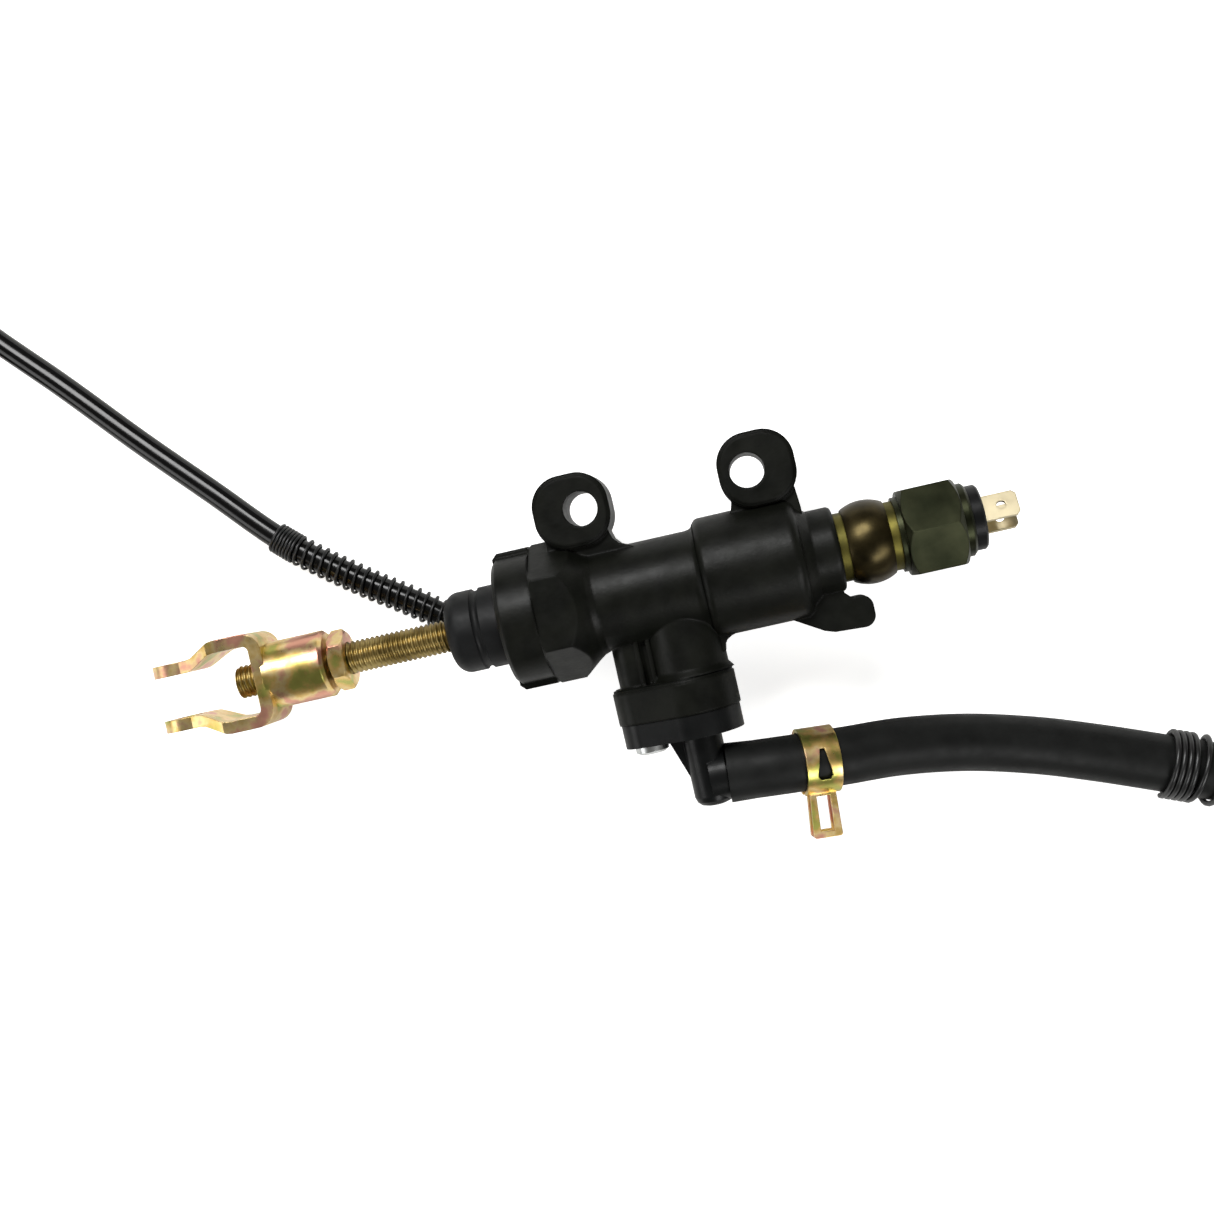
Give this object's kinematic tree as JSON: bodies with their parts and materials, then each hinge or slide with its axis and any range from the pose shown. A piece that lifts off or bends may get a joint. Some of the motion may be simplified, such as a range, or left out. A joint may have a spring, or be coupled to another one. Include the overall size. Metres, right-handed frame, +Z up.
{
  "type": "brake master cylinder",
  "caption": "Rear brake master cylinder with a clevis pushrod, two bolt ears, a side reservoir elbow with feed hose, and a banjo pressure hose under a brake light switch.",
  "frame": {"origin": "midway between the two bolt holes, at half the ears' thickness", "axes": "+X along the bore towards the banjo and the switch, +Y from the bore towards the ears, +Z up from the surface that the part lies on, along the bolt holes"},
  "size_m": [0.4057, 0.2457, 0.0399],
  "materials": {
    "casting_paint": "satin black paint over sand-cast aluminium alloy",
    "boot_rubber": "matt black EPDM",
    "ring_steel": "phosphated spring steel",
    "stop_steel": "zinc-plated steel",
    "rod_zinc": "yellow passivated zinc on steel",
    "nut_zinc": "yellow passivated zinc on steel",
    "clevis_zinc": "yellow passivated zinc on steel",
    "piston_alloy": "turned and anodised aluminium alloy",
    "seal_rubber": "black EPDM seal rubber",
    "spring_steel": "bright spring steel",
    "washer_metal": "dull passivated sealing washer",
    "banjo_zinc": "dark passivated steel",
    "ferrule_steel": "black passivated steel",
    "switch_zinc": "olive passivated zinc on steel",
    "film": "amber polyimide film",
    "contact_brass": "bare brass",
    "insulator_plastic": "black glass-filled nylon",
    "terminal_tin": "tin-plated brass",
    "elbow_plastic": "black moulded nylon",
    "screw_zinc": "bright zinc-plated steel",
    "feed_rubber": "matt black fluid-resistant rubber",
    "clamp_zinc": "yellow passivated spring steel",
    "guard_plastic": "black coated wire",
    "hose_rubber": "glossy black hose rubber",
    "guard_steel": "black phosphated spring wire",
    "tie_nylon": "black nylon"
  },
  "bodies": {
    "housing": {"cylinder_body": "casting_paint", "dust_boot": "boot_rubber", "retaining_ring": "ring_steel", "stop_washer": "stop_steel", "return_spring": "spring_steel", "inner_washer": "washer_metal", "banjo_fitting": "banjo_zinc", "outer_washer": "washer_metal", "hose_ferrule": "ferrule_steel", "switch_body": "switch_zinc", "switch_diaphragm": "film", "contact_spring": "spring_steel", "switch_insulator": "insulator_plastic", "terminal_front": "terminal_tin", "terminal_back": "terminal_tin", "reservoir_elbow": "elbow_plastic", "elbow_seal": "seal_rubber", "elbow_screw": "screw_zinc", "reservoir_hose": "feed_rubber", "hose_clamp": "clamp_zinc", "hose_guard": "guard_plastic", "far_clamp": "clamp_zinc", "brake_hose": "hose_rubber", "brake_guard": "guard_steel", "brake_hose_coil": "hose_rubber", "coil_tie": "tie_nylon", "caliper_ferrule": "ferrule_steel", "caliper_banjo": "banjo_zinc"},
    "piston": {"piston": "piston_alloy", "primary_cup": "seal_rubber", "secondary_seal": "seal_rubber", "spring_seat": "ring_steel"},
    "pushrod": {"pushrod": "rod_zinc"},
    "nut": {"lock_nut": "nut_zinc"},
    "fork": {"clevis": "clevis_zinc"},
    "contact": {"contact_plate": "contact_brass"}
  },
  "joints": [
    {"name": "piston_slide", "type": "slide", "parent": "housing", "child": "piston", "axis": [1, 0, 0], "range_m": [0, 0.01], "stiffness_N_per_m": 1500, "springref_m": -0.02, "deforming": ["return_spring"]},
    {"name": "pushrod_swing", "type": "hinge", "parent": "piston", "child": "pushrod", "pos_m": [-0.02816, -0.0225, 0], "axis": [0, 1, 0], "range_deg": [-2.5, 2.5]},
    {"name": "lock_nut_travel", "type": "slide", "parent": "pushrod", "child": "nut", "axis": [1, 0, 0], "range_m": [-0.0026, 0.0026]},
    {"name": "clevis_turn", "type": "hinge", "parent": "nut", "child": "fork", "pos_m": [-0.1, -0.0225, 0], "axis": [1, 0, 0], "range_deg": [-720, 720]},
    {"name": "switch_contact", "type": "slide", "parent": "housing", "child": "contact", "axis": [1, 0, 0], "range_m": [0, 0.0005], "stiffness_N_per_m": 2000, "springref_m": -0.001, "deforming": ["contact_spring"]}
  ],
  "couplings": [
    {"joint": "lock_nut_travel", "follows": "clevis_turn", "m_per_rad": 0.00019894}
  ]
}
